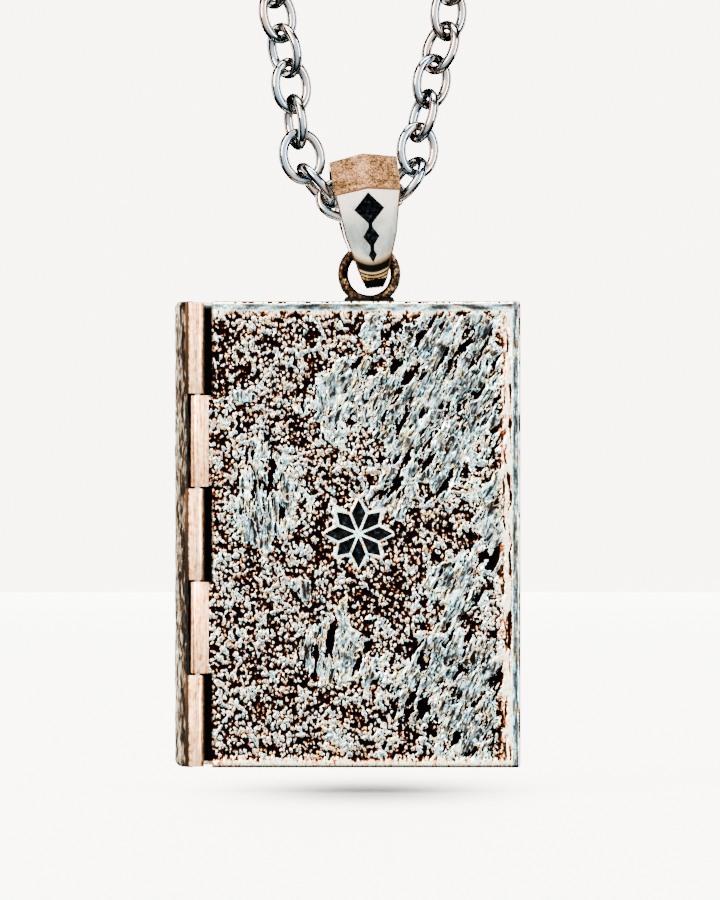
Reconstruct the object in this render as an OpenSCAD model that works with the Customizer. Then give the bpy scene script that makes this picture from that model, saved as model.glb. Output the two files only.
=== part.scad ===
// Hinged book locket that hangs from a tapered bail on a cable chain.
// The origin is the middle of the nape, where the necklace rests. +Z is up and -Y is the front.
// The locket and chain are laid out in a hanging frame: z = 0 in the middle of the bail's hole, x = 0 at the eye.

/* [Book] */
// Width over the spine and the fore edge
book_w = 26.1; // [24:0.1:30]
// Height of the covers
book_h = 35; // [30:0.5:44]
// Thickness over both covers
book_t = 7.6; // [7.2:0.1:9]
// Thickness of the front cover, with its relief
cover_t = 1.5; // [1.4:0.05:1.7]
// Thickness of the back cover
back_t = 1.4; // [1.2:0.05:1.6]
// How far the page edges sit inside the covers
page_inset = 0.45; // [0.3:0.05:0.7]
// Thickness of the page walls at the head, tail and fore edge
page_wall = 1.5; // [1.2:0.1:2.2]
// Thickness of the wall behind the spine
spine_wall = 1.2; // [0.9:0.1:1.6]
// Distance from the fore edge to the middle of the eye
eye_from_fore = 11.35; // [10:0.05:13]

/* [Hinge] */
// Radius of the knuckles
knuckle_r = 0.5; // [0.48:0.01:0.52]
// Number of knuckles, of which the first and last are on the spine
knuckle_count = 5; // [3:2:9]
// Radius of the hinge pin
pin_r = 0.22; // [0.18:0.01:0.24]
// Distance from the outside of the spine to the middle of the hinge pin
pin_inset = 1.85; // [1.75:0.05:2]

/* [Relief] */
// Height of the cast plateaus on the front cover
relief = 0.15; // [0.1:0.01:0.25]
// Number of cast plateaus
plateaus = 46; // [20:1:70]
// Radius of the long points of the engraved star
star_r = 2.6; // [1.8:0.1:4]
// Depth of the engraved star
star_depth = 0.35; // [0.2:0.05:0.5]
// Depth of the engraved lozenges on the bail
lozenge_depth = 0.2; // [0.1:0.05:0.25]

/* [Eye] */
// Radius of the hole in the eye
eye_hole_r = 1.55; // [1.52:0.01:1.6]
// Thickness of the eye's wire
eye_wire = 0.85; // [0.8:0.01:0.88]
// Height of the eye's middle above the covers
eye_rise = 2.1; // [2.05:0.01:2.2]

/* [Bail] */
// Lean of the bail's top towards the spine side, in degrees
bail_lean = 5.4; // [3:0.1:6]
// Turn of the bail's front towards the fore edge, in degrees
bail_turn = 3; // [0:0.5:4]
// Radius of the hole that the chain runs through
bail_hole_r = 2.15; // [2.1:0.01:2.2]
// Height of the ridge above the middle of the hole
bail_top = 3.5; // [3.4:0.05:3.7]
// Distance from the middle of the hole to the bottom of the bail
bail_foot = 6.7; // [6.6:0.05:6.75]

/* [Chain] */
// Outer length of a link
link_l = 4.36; // [4.34:0.01:4.38]
// Outer width of a link
link_w = 3.55; // [3.5:0.01:3.6]
// Thickness of the links' wire
link_wire = 0.73; // [0.7:0.01:0.74]
// Height of the nape above the bail
nape_rise = 125; // [120:1:130]
// Distance from the locket back to the nape
nape_back = 98; // [94:1:102]

/* [Hidden] */
eps = 0.02;
steel = "#c9cccf";
silver = "#b9b6b0";
worn_silver = "#8f8d89";
$fn = 48;

// Book: covers, and the gutter between the spine and the front cover
fore_x = eye_from_fore;
spine_x = fore_x - book_w;
head_z = -7.7;
tail_z = head_z - book_h;
front_y = -book_t / 2;
back_y = book_t / 2;
corner_r = 0.3;
seam = 0.15;
page_front_y = front_y + cover_t + seam;
page_back_y = back_y - back_t;
pin_x = spine_x + pin_inset;
knuckle_sunk = 0.1;
pin_y = front_y + knuckle_r + knuckle_sunk;
spine_slot = 0.3;
cover_slot = 0.58;
lip_x = pin_x - knuckle_r - spine_slot;
lip_y = front_y + 0.5;
cover_x = pin_x + knuckle_r + cover_slot;
web_front = pin_y - knuckle_r;
web_root = 0.1;
knuckle_h = book_h / knuckle_count;
knuckle_gap = 0.15;
bore_r = pin_r + 0.03;
pin_end = 0.1;
spine_bulge = lip_x - spine_x;
spine_chord = back_y - lip_y;
spine_r = (spine_chord * spine_chord / 4 + spine_bulge * spine_bulge) / (2 * spine_bulge);

// Plateaus: polygons of a few corners, scattered over the cover inside a bare rim
rim = 0.9;
plateau_corners = 9;
plateau_low_r = 0.9;
plateau_high_r = 2.4;
plateau_seed = 7;
star_mid = [-0.8, -25.15];
star_short = 0.9;
star_waist = 0.6;
star_rib = 0.2;
star_boss_r = 0.4;

// Eye, and the solder that it stands on
eye_r = eye_hole_r + eye_wire / 2;
eye_z = head_z + eye_rise;
solder_w = 3.7;
solder_top_w = 2.2;
solder_t = 0.8;
solder_rise = 0.3;

// Bail, laid out round the middle of its hole
bail_at = [-0.225, 0, 0];
bail_bottom_r = 1.45;
bail_bottom_z = bail_bottom_r - bail_foot;
ridge_half = 0.8;
shoulder_y = 3.35;
shoulder_z = 0.75;
gable_rise = 0.46;
bail_wide = 8;
graze = 0.005;
// Half width of the bail at each height: ridge, shoulder, waist, foot and rounded end
bail_halves = [[2.56, 3.6], [2.5, 0.75], [1.95, -2.7], [0.98, -6], [0.62, -6.75]];
gable = atan(gable_rise / bail_halves[0][0]);
wire_clearance = 0.14;
mouth_grow = 0.45;
mouth_deep = 0.6;
seat_r = eye_wire / 2 + wire_clearance;
seat_z = eye_z + eye_r;
seat_reach = 1.2;
foot_reach = norm([shoulder_y, shoulder_z - bail_bottom_z]);
face_lean = atan2(shoulder_y, shoulder_z - bail_bottom_z) - asin(bail_bottom_r / foot_reach);
// Lozenges down the bail's front: distance below the shoulder, half width, half height
lozenges = [[1.6, 1.15, 1.3], [3.75, 0.62, 0.95], [5.2, 0.32, 0.6]];
lozenge_stem = 0.3;

// Chain: where links meet, and the facets of a link
link_gap = 0.18;
pitch = link_l - 2 * link_wire - link_gap;
link_rings = 10;
wire_sides = 5;
link_points = link_rings * wire_sides;
half_l = (link_l - link_wire) / 2;
half_w = (link_w - link_wire) / 2;
LEAN = 0;
BACK = 1;
ROLL = 2;
SPAN = 3;
// A row for each link in front, from the bail up: lean from the vertical, lean to the back, roll on its length,
// and distance between its two joints
left_links = [
    [85, 0, 18, 2.56], [40, 0, -76, 2.46], [14, 0, 12, 2.6], [7, 0, -68, 2.72],
    [7, 0, 35, 2.72], [14, 2, -50, 2.72], [9, 5, 42, 2.72]
];
right_links = [
    [78, 0, 50, 2.66], [38, 2, -61, 2.56], [4, 4, 28, 2.6], [14, 8, -62, 2.7],
    [14, 10, 38, 2.72], [16, 10, -47, 2.72], [9, 10, 42, 2.72]
];
chain_start = [-0.62, 0, -0.1];
shoulder = [50, 42, nape_rise - 24];
shoulder_way = [0.15, 0.76, 0.63];
nape = [0, nape_back, nape_rise];
chest_pull = 36;
neck_pull = 30;
nape_pull = 30;
route_steps = 120;

// Clasp: a plain oval that both ends of the chain are closed on
clasp_half = 5;
clasp_wire = 1.2;
clasp_w = 5.4;
clasp_set = link_wire / 2 + clasp_wire / 2 + link_gap - (link_wire + link_gap) / 2;

function unit(v) = v / norm(v);
function mix(a, b, t) = a + (b - a) * t;
function bezier(p, t) =
    let(u = 1 - t)
    u * u * u * p[0] + 3 * u * u * t * p[1] + 3 * u * t * t * p[2] + t * t * t * p[3];

// Way of a link in front, from its lower joint to its upper one
function link_way(row, side) =
    [side * sin(row[LEAN]) * cos(row[BACK]), sin(row[BACK]), cos(row[LEAN]) * cos(row[BACK])];

function front_joints(rows, side, at, i = 0) =
    i == len(rows) ? [at]
    : concat([at], front_joints(rows, side, at + rows[i][SPAN] * link_way(rows[i], side), i + 1));

// Route from the last link in front, over the shoulder, to the clasp
function route(rows, side, t) =
    let(
        joints = front_joints(rows, side, chain_start),
        start = joints[len(rows)],
        way = link_way(rows[len(rows) - 1], side),
        over = [side * shoulder[0], shoulder[1], shoulder[2]],
        over_way = unit([side * shoulder_way[0], shoulder_way[1], shoulder_way[2]]),
        end = nape + [side * clasp_half, 0, 0])
    t < 1
        ? bezier([start, start + chest_pull * way, over - chest_pull * over_way, over], t)
        : bezier([over, over + neck_pull * over_way, end + [side * nape_pull, 0, 0], end], t - 1);

function running_length(points) =
    [for (i = 0, s = 0; i < len(points); i = i + 1,
        s = s + (i < len(points) ? norm(points[i] - points[i - 1]) : 0)) s];

// Joints of the hidden stretch: an odd number of links of one pitch, so that the last stands across the clasp
function hidden_joints(rows, side) =
    let(
        ts = [for (i = [0 : route_steps]) 2 * i / route_steps],
        run = running_length([for (t = ts) route(rows, side, t)]),
        whole = run[route_steps],
        fit = ceil(whole / pitch),
        n = fit + 1 - fit % 2,
        by_length = [for (i = [0 : route_steps]) [run[i], ts[i]]])
    [for (k = [0 : n]) route(rows, side, lookup(whole * k / n, by_length))];

// A link's frame turns its X across the link, its Y along it and its Z through it
function link_frame(a, b, roll) =
    let(
        y = unit(b - a),
        flat = unit(cross([0, 1, 0], y)),
        through = cross(flat, y),
        x = flat * cos(roll) - through * sin(roll),
        z = cross(x, y),
        at = (a + b) / 2)
    [x, y, z, at];

function strand(rows, side) =
    let(
        front = front_joints(rows, side, chain_start),
        hidden = hidden_joints(rows, side),
        n = len(hidden) - 1,
        first_roll = rows[len(rows) - 1][ROLL] + 90)
    concat(
        [for (i = [0 : len(rows) - 1]) link_frame(front[i], front[i + 1], rows[i][ROLL])],
        [for (k = [0 : n - 1])
            link_frame(hidden[k], hidden[k + 1], 90 * (k % 2) + mix(first_roll, 90, k / (n - 1)))]);

// Point j of ring i on the wire of a link, which is an oval in its frame's X and Y
function wire_point(frame, i, j) =
    let(
        t = 90 + 360 * i / link_rings,
        s = 360 * j / wire_sides,
        out = unit([half_l * cos(t), half_w * sin(t)]),
        x = half_w * cos(t) + link_wire / 2 * cos(s) * out[0],
        y = half_l * sin(t) + link_wire / 2 * cos(s) * out[1],
        z = link_wire / 2 * sin(s))
    frame[0] * x + frame[1] * y + frame[2] * z + frame[3];

// Links of one strand as one polyhedron of closed, interlocked rings
module links(frames) {
    polyhedron(
        points = [for (frame = frames, i = [0 : link_rings - 1], j = [0 : wire_sides - 1])
            wire_point(frame, i, j)],
        faces = [for (k = [0 : len(frames) - 1], i = [0 : link_rings - 1], j = [0 : wire_sides - 1])
            let(
                first = k * link_points,
                next_i = (i + 1) % link_rings,
                next_j = (j + 1) % wire_sides,
                a = first + i * wire_sides + j,
                b = first + next_i * wire_sides + j,
                c = first + next_i * wire_sides + next_j,
                d = first + i * wire_sides + next_j)
            each [[a, c, b], [a, d, c]]]);
}

module hanging() {
    translate(-nape) children();
}

// Lays an outline drawn in x and z across the depth from near to far
module upright(near, far) {
    translate([0, far, 0]) rotate([90, 0, 0]) linear_extrude(far - near) children();
}

module cover_outline(left, right) {
    translate([left, tail_z + corner_r]) square([right - left - corner_r, book_h - 2 * corner_r]);
    translate([left, tail_z]) square([right - left - corner_r, book_h]);
    translate([left, tail_z + corner_r]) square([right - left, book_h - 2 * corner_r]);
    for (z = [tail_z + corner_r, head_z - corner_r]) {
        translate([right - corner_r, z]) circle(corner_r);
    }
}

module knuckle(i) {
    translate([pin_x, pin_y, head_z - (i + 1) * knuckle_h + knuckle_gap / 2])
        cylinder(r = knuckle_r, h = knuckle_h - knuckle_gap);
}

// Web that joins a knuckle to its plate, between two places across the hinge
module knuckle_web(i, from_x, to_x) {
    translate([from_x, web_front, head_z - (i + 1) * knuckle_h + knuckle_gap / 2])
        cube([to_x - from_x, 2 * knuckle_r, knuckle_h - knuckle_gap]);
}

module pin_bore() {
    translate([pin_x, pin_y, tail_z - 1]) cylinder(r = bore_r, h = book_h + 2);
}

// One cast plateau: a rough polygon whose corners wander in and out
module plateau(at, r, seed) {
    wander = rands(0.55, 1, plateau_corners, seed);
    polygon([for (k = [0 : plateau_corners - 1])
        let(a = 360 * k / plateau_corners)
        at + r * wander[k] * [cos(a), 1.3 * sin(a)]]);
}

module cast_relief() {
    across = rands(cover_x + rim, fore_x - rim, plateaus, plateau_seed);
    up = rands(tail_z + rim, head_z - rim, plateaus, plateau_seed + 1);
    size = rands(plateau_low_r, plateau_high_r, plateaus, plateau_seed + 2);
    intersection() {
        translate([cover_x + rim / 2, tail_z + rim / 2])
            square([fore_x - cover_x - rim, book_h - rim]);
        union() {
            for (i = [0 : plateaus - 1]) plateau([across[i], up[i]], size[i], i);
        }
    }
}

// Eight-pointed star with ribs and a boss left standing
module star() {
    difference() {
        polygon([for (k = [0 : 15])
            let(reach = k % 2 == 1 ? star_waist : k % 4 == 0 ? 1 : star_short)
            star_mid + star_r * reach * [sin(k * 22.5), cos(k * 22.5)]]);
        translate(star_mid) circle(star_boss_r);
        for (a = [0 : 45 : 135]) {
            translate(star_mid) rotate(a + 22.5) square([star_rib, 2 * star_r], center = true);
        }
    }
}

module front_cover() {
    color(worn_silver) hanging() difference() {
        union() {
            upright(front_y + relief, front_y + cover_t) cover_outline(cover_x, fore_x);
            upright(front_y, front_y + relief + eps) cast_relief();
            for (i = [1 : 2 : knuckle_count - 2]) {
                knuckle(i);
                knuckle_web(i, pin_x, cover_x + corner_r);
            }
        }
        upright(front_y - 1, front_y + star_depth) star();
        pin_bore();
    }
}

// Cross-section of the spine, back cover and page block, without the gutter
module spine_section() {
    intersection() {
        translate([spine_x + spine_r, (back_y + lip_y) / 2]) circle(spine_r, $fn = 96);
        union() {
            translate([spine_x - 1, lip_y]) square([lip_x - spine_x + 1, back_y - lip_y]);
            translate([lip_x - eps, page_front_y]) square([cover_x - lip_x, back_y - page_front_y]);
        }
    }
}

module page_block() {
    translate([lip_x, page_front_y, tail_z + page_inset])
        cube([fore_x - page_inset - lip_x, page_back_y - page_front_y + eps, book_h - 2 * page_inset]);
}

module locket_hollow() {
    left = pin_x + knuckle_r + spine_wall;
    reach = page_inset + page_wall;
    translate([left, page_front_y - 1, tail_z + reach])
        cube([fore_x - reach - left, page_back_y - page_front_y + 1, book_h - 2 * reach]);
}

module eye() {
    translate([0, 0, eye_z]) rotate([90, 0, 0]) rotate_extrude() translate([eye_r, 0]) circle(eye_wire / 2);
    foot_z = head_z - page_inset - eps;
    upright(-solder_t / 2, solder_t / 2) polygon([
        [-solder_w / 2, foot_z], [solder_w / 2, foot_z],
        [solder_top_w / 2, head_z + solder_rise], [-solder_top_w / 2, head_z + solder_rise]
    ]);
}

module book_body() {
    color(worn_silver) hanging() difference() {
        union() {
            translate([0, 0, tail_z]) linear_extrude(book_h) spine_section();
            upright(page_back_y, back_y) cover_outline(lip_x, fore_x);
            page_block();
            for (i = [0 : 2 : knuckle_count - 1]) {
                knuckle(i);
                knuckle_web(i, lip_x - web_root, pin_x);
            }
            eye();
        }
        locket_hollow();
        pin_bore();
    }
}

module hinge_pin() {
    color(silver) hanging() translate([pin_x, pin_y, tail_z + pin_end]) cylinder(r = pin_r, h = book_h - 2 * pin_end);
}

// Lays an outline drawn in y and z across the width
module across(width) {
    rotate([90, 0, 90]) linear_extrude(width, center = true) children();
}

module bail_side() {
    tangent = (bail_bottom_r - graze) * [cos(face_lean), -sin(face_lean)] + [0, bail_bottom_z];
    polygon([
        [-tangent[0], tangent[1]], [-shoulder_y, shoulder_z], [-shoulder_y, bail_top + 1],
        [shoulder_y, bail_top + 1], [shoulder_y, shoulder_z], tangent
    ]);
}

// Drop-shaped opening: the chain's round hole, drawn in to the seat of the eye's wire
module bail_opening() {
    slant = asin((bail_hole_r - seat_r) / -seat_z);
    side = [cos(slant), -sin(slant)];
    circle(bail_hole_r);
    translate([0, seat_z]) circle(seat_r);
    polygon([
        (bail_hole_r - graze) * side, [0, seat_z] + (seat_r - graze) * side,
        [0, seat_z] + (seat_r - graze) * [-side[0], side[1]], (bail_hole_r - graze) * [-side[0], side[1]]
    ]);
}

module bail_roof() {
    slope = (bail_top - shoulder_z) / (shoulder_y - ridge_half);
    low = shoulder_z - slope;
    polygon([
        [-ridge_half, bail_top], [ridge_half, bail_top], [shoulder_y + 1, low],
        [shoulder_y + 1, -2 * bail_foot], [-shoulder_y - 1, -2 * bail_foot], [-shoulder_y - 1, low]
    ]);
}

// Everything under one half of the gabled top
module bail_slope(tilt) {
    translate([0, 0, bail_top]) rotate([0, tilt, 0]) translate([0, 0, -bail_top]) across(2 * bail_wide) bail_roof();
}

module lozenge_row() {
    for (row = lozenges) {
        translate([0, -row[0]]) polygon([[0, row[2]], [row[1], 0], [0, -row[2]], [-row[1], 0]]);
    }
    translate([-lozenge_stem / 2, -lozenges[2][0]]) square([lozenge_stem, lozenges[2][0] - lozenges[0][0]]);
}

module bail_blank() {
    difference() {
        intersection() {
            union() {
                across(bail_wide) bail_side();
                translate([-bail_wide / 2, 0, bail_bottom_z]) rotate([0, 90, 0]) cylinder(r = bail_bottom_r, h = bail_wide);
            }
            rotate([90, 0, 0]) linear_extrude(bail_wide, center = true)
                polygon(concat(
                    [for (row = bail_halves) row],
                    [for (i = [len(bail_halves) - 1 : -1 : 0]) [-bail_halves[i][0], bail_halves[i][1]]]));
            bail_slope(-gable);
            bail_slope(gable);
        }
        across(bail_wide + 1) bail_opening();
        for (side = [-90, 90]) {
            rotate([0, side, 0]) translate([0, 0, bail_halves[1][0] - mouth_deep])
                cylinder(r1 = bail_hole_r, r2 = bail_hole_r + 2 * mouth_grow, h = 2 * mouth_deep);
        }
        translate([0, -shoulder_y, shoulder_z]) rotate([90 + face_lean, 0, 0])
            translate([0, 0, -lozenge_depth]) linear_extrude(1) lozenge_row();
    }
}

module bail() {
    color(silver) hanging() difference() {
        translate(bail_at) rotate([0, -bail_lean, 0]) rotate([0, 0, bail_turn]) bail_blank();
        translate([0, 0, eye_z]) rotate([90, 0, 0]) rotate_extrude() translate([eye_r, 0]) {
            circle(seat_r);
            translate([0, -seat_r]) square([seat_reach, 2 * seat_r]);
        }
    }
}

module wire_arc(r, wire, from, to) {
    rotate(from) rotate_extrude(angle = to - from) translate([r, 0]) circle(wire / 2, $fn = 24);
}

module chain_left() {
    color(steel) hanging() links(strand(left_links, -1));
}

module chain_right() {
    color(steel) hanging() links(strand(right_links, 1));
}

module clasp() {
    bend_r = (clasp_w - clasp_wire) / 2;
    bend_x = clasp_half + clasp_set - bend_r;
    color(steel) hanging() translate(nape) rotate([90, 0, 0]) {
        translate([bend_x, 0, 0]) wire_arc(bend_r, clasp_wire, -90, 90);
        translate([-bend_x, 0, 0]) wire_arc(bend_r, clasp_wire, 90, 270);
        for (z = [-bend_r, bend_r]) {
            translate([-bend_x, z, 0]) rotate([0, 90, 0]) cylinder(d = clasp_wire, h = 2 * bend_x, $fn = 24);
        }
    }
}

front_cover();
book_body();
hinge_pin();
bail();
chain_left();
chain_right();
clasp();
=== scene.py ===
import math

import bpy
from mathutils import Matrix, Vector


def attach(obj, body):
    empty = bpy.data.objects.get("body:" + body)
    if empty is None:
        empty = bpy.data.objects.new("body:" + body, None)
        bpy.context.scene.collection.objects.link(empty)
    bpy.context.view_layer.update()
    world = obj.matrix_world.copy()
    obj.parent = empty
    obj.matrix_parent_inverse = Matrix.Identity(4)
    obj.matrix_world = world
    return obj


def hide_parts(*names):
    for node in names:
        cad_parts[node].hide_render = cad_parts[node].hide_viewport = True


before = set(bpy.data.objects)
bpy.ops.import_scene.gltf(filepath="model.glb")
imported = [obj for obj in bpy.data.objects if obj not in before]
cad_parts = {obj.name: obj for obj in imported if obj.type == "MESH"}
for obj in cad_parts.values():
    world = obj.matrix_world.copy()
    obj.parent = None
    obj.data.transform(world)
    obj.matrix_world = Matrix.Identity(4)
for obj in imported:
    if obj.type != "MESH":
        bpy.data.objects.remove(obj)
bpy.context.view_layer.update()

MM = 0.001
# The nape, where the frame has its origin, in millimetres from the middle of the bail's hole
NAPE = Vector((0, 98, 125))

# Book, in millimetres round the middle of the bail's hole, as in the CAD source
FORE, SPINE = 11.35, -14.75
HEAD, TAIL = -7.7, -42.7
FRONT, BACK = -3.8, 3.8
PIN_X, PIN_Y = -12.9, -3.2
LIP_X, LIP_Y = -13.7, -3.3
COVER_X = -11.82
COVER_BACK = -2.3
PAGE_FRONT, PAGE_BACK = -2.15, 2.4
PAGE_INSET, PAGE_RIM, SPINE_RIM = 0.45, 1.5, 1.2
KNUCKLE_R, PIN_R, PIN_PLAY, KNUCKLE_GAP = 0.5, 0.22, 0.03, 0.15
KNUCKLE_H = 7
# How far the cover's cast skin runs on over its own knuckles, and how much of the skin stretches for it
TONGUE, TONGUE_ROOT = 0.36, 0.8
# How deep the sides of the covers go straight down before they turn to the flat
CAST_SIDE = 0.5
STAR_MID, STAR_R, STAR_DEPTH = (-0.8, -25.15), 2.6, 0.42
RIB_W, BOSS_R = 0.16, 0.34
EYE_Z, EYE_R, EYE_WIRE = -5.6, 1.975, 0.85
# The book's ends in millimetres of the frame, as the node trees see them
HEAD_Z, TAIL_Z = HEAD - NAPE.z, TAIL - NAPE.z


def place(x, y, z):
    """Turns millimetres of the hanging locket into metres of the frame."""
    return (Vector((x, y, z)) - NAPE) * MM


# Objects and selection

def only(obj):
    if bpy.context.object and bpy.context.object.mode != "OBJECT":
        bpy.ops.object.mode_set(mode="OBJECT")
    bpy.ops.object.select_all(action="DESELECT")
    obj.select_set(True)
    bpy.context.view_layer.objects.active = obj


def made(name):
    obj = bpy.context.object
    obj.name = name
    obj.data.name = name
    return obj


def freeze(obj):
    only(obj)
    bpy.ops.object.transform_apply(location=True, rotation=True, scale=True)


def modify(obj, kind, **settings):
    mod = obj.modifiers.new(kind.title(), kind)
    for key, value in settings.items():
        setattr(mod, key, value)
    only(obj)
    bpy.ops.object.modifier_apply(modifier=mod.name)


def smooth(obj, degrees):
    only(obj)
    bpy.ops.object.shade_smooth_by_angle(angle=math.radians(degrees))


def join(name, objs):
    bpy.ops.object.select_all(action="DESELECT")
    for obj in objs:
        obj.select_set(True)
    bpy.context.view_layer.objects.active = objs[0]
    bpy.ops.object.join()
    return made(name)


def mesh_object(name, points, faces):
    """An object from points in millimetres of the hanging locket."""
    mesh = bpy.data.meshes.new(name)
    mesh.from_pydata([place(*p) for p in points], [], faces)
    obj = bpy.data.objects.new(name, mesh)
    bpy.context.scene.collection.objects.link(obj)
    only(obj)
    bpy.ops.object.mode_set(mode="EDIT")
    bpy.ops.mesh.select_all(action="SELECT")
    bpy.ops.mesh.normals_make_consistent(inside=False)
    bpy.ops.object.mode_set(mode="OBJECT")
    return obj


def ring_faces(rings, around, closed=True):
    """Faces between rings of points that lie one on another, and over the first and the last if closed."""
    faces = [(r * around + k, r * around + (k + 1) % around, (r + 1) * around + (k + 1) % around,
              (r + 1) * around + k) for r in range(rings - 1) for k in range(around)]
    if closed:
        faces += [tuple(range(around)), tuple(range(rings * around - 1, (rings - 1) * around - 1, -1))]
    return faces


def box(name, low, high, bevel, segments=2):
    bpy.ops.mesh.primitive_cube_add(size=1)
    obj = made(name)
    obj.location = place(*[(a + b) / 2 for a, b in zip(low, high)])
    obj.scale = [(b - a) * MM for a, b in zip(low, high)]
    freeze(obj)
    modify(obj, "BEVEL", width=bevel * MM, segments=segments, limit_method="ANGLE")
    return obj


def rod(name, at, radius, length, bevel, sides=48):
    """An upright cylinder whose lower end is at the given place."""
    bpy.ops.mesh.primitive_cylinder_add(vertices=sides, radius=radius * MM, depth=length * MM)
    obj = made(name)
    obj.location = place(at[0], at[1], at[2] + length / 2)
    freeze(obj)
    modify(obj, "BEVEL", width=bevel * MM, segments=2, limit_method="ANGLE")
    return obj


def cad_copy(name, node):
    """A copy of a CAD node's mesh with its doubled points merged and its flat faces joined."""
    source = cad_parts[node]
    mesh = source.data.copy()
    mesh.materials.clear()
    mesh.name = name
    obj = bpy.data.objects.new(name, mesh)
    obj.matrix_world = source.matrix_world
    bpy.context.scene.collection.objects.link(obj)
    freeze(obj)
    bpy.ops.object.mode_set(mode="EDIT")
    bpy.ops.mesh.select_all(action="SELECT")
    bpy.ops.mesh.customdata_custom_splitnormals_clear()
    bpy.ops.mesh.remove_doubles(threshold=2e-6)
    bpy.ops.mesh.dissolve_limited(angle_limit=math.radians(1))
    bpy.ops.object.mode_set(mode="OBJECT")
    return obj


# Node trees

MATH, VECTOR, RANGE = "ShaderNodeMath", "ShaderNodeVectorMath", "ShaderNodeMapRange"
NOISE, RAMP, MIX = "ShaderNodeTexNoise", "ShaderNodeValToRGB", "ShaderNodeMix"
SPLIT, MERGE, ROTATE = "ShaderNodeSeparateXYZ", "ShaderNodeCombineXYZ", "ShaderNodeVectorRotate"


def linear(code):
    """An sRGB hex colour as linear values."""
    parts = [int(code[i:i + 2], 16) / 255 for i in (1, 3, 5)]
    return [c / 12.92 if c <= 0.04045 else ((c + 0.055) / 1.055) ** 2.4 for c in parts] + [1.0]


def add(tree, kind, links=(), out=0, stops=(), **settings):
    """Adds a node with its settings, input values or sockets and ramp colours, and returns one output."""
    node = tree.nodes.new(kind)
    for key, value in settings.items():
        setattr(node, key, value)
    for key, value in links.items() if isinstance(links, dict) else enumerate(links):
        if isinstance(value, bpy.types.NodeSocket):
            tree.links.new(value, node.inputs[key])
        else:
            node.inputs[key].default_value = value
    if stops:
        colours = node.color_ramp.elements
        while len(colours) < len(stops):
            colours.new(0.5)
        for colour, (at, code) in zip(colours, stops):
            colour.position = at
            colour.color = linear(code)
    return node.outputs[out]


def grain(tree, spot, per_mm, detail=2.0, roughness=0.5, out=0):
    """A cloudy pattern of so many grains a millimetre across, backwards and up."""
    spot = add(tree, VECTOR, (spot, per_mm), operation="MULTIPLY")
    return add(tree, NOISE, {"Vector": spot, "Scale": 1.0, "Detail": detail, "Roughness": roughness}, out)


def cloud(tree, spot, per_mm, detail=2.0, roughness=0.5):
    """The same pattern, as fine one way as another."""
    return grain(tree, spot, (per_mm, per_mm, per_mm), detail, roughness)


def strayed(tree, spot, per_mm, reach, detail=2.0, roughness=0.5):
    """A place that strays from where it is by up to about half the reach, in millimetres."""
    stray = grain(tree, spot, (per_mm, per_mm, per_mm), detail, roughness, out=1)
    stray = add(tree, VECTOR, (stray, (0.5, 0.5, 0.5)), operation="SUBTRACT")
    stray = add(tree, VECTOR, {0: stray, "Scale": reach}, operation="SCALE")
    return add(tree, VECTOR, (spot, stray))


# The cast surface, which the covers' shape and their metal both follow

# Smooth places on the front cover: middle across, middle up, half width, half height, in millimetres
SMOOTH_PLACES = [
    (-1.6, -14.6, 3.4, 3.0), (5.6, -14.2, 6.4, 7.4), (-9.7, -14.8, 1.0, 0.9), (-7.4, -23.0, 2.2, 4.0),
    (9.6, -24.4, 1.9, 5.0), (6.9, -28.8, 2.4, 2.2), (-1.5, -34.0, 3.4, 2.7), (6.6, -37.4, 4.6, 5.0),
    (1.6, -22.0, 1.8, 2.2), (-4.6, -29.4, 1.2, 1.4),
]
# How far the strokes of the smooth places lean at the upper right
STROKE_LEAN = math.radians(-27)


def smooth_places(tree, spot):
    """High in the middle of each smooth place and falling to below zero away from all of them."""
    best = -1.0
    for across, up, half_w, half_h in SMOOTH_PLACES:
        away = add(tree, VECTOR, (spot, (across, 0, up - NAPE.z)), operation="SUBTRACT")
        away = add(tree, VECTOR, (away, (1 / half_w, 0, 1 / half_h)), operation="MULTIPLY")
        away = add(tree, VECTOR, (away,), out=1, operation="LENGTH")
        near = add(tree, MATH, (1.0, away), operation="SUBTRACT")
        best = add(tree, MATH, (best, near), operation="MAXIMUM")
    return best


def stippled_ground(tree, spot, fine):
    """Grains of the rough ground, each about a third of a millimetre wide and half as tall again."""
    x, _, z = add(tree, SPLIT, (strayed(tree, spot, 2.6, 0.5, 2.0, 0.6),)).node.outputs
    flat = add(tree, MERGE, (x, z))
    flat = add(tree, VECTOR, (flat, (1.3, 0.84, 1.0)), operation="MULTIPLY")
    grains = add(tree, "ShaderNodeTexVoronoi", {"Vector": flat, "Scale": 2.75}, voronoi_dimensions="2D")
    clump = add(tree, RANGE, (cloud(tree, spot, 0.95, 3.0, 0.6), 0.35, 0.65, 0.27, -0.22))
    fleck = add(tree, RANGE, (fine, 0.3, 0.7, 0.27, -0.27))
    depth = add(tree, MATH, (add(tree, MATH, (grains, clump)), fleck))
    return add(tree, RANGE, (depth, 0.0, 0.64, 0.7, 0.08))


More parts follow.
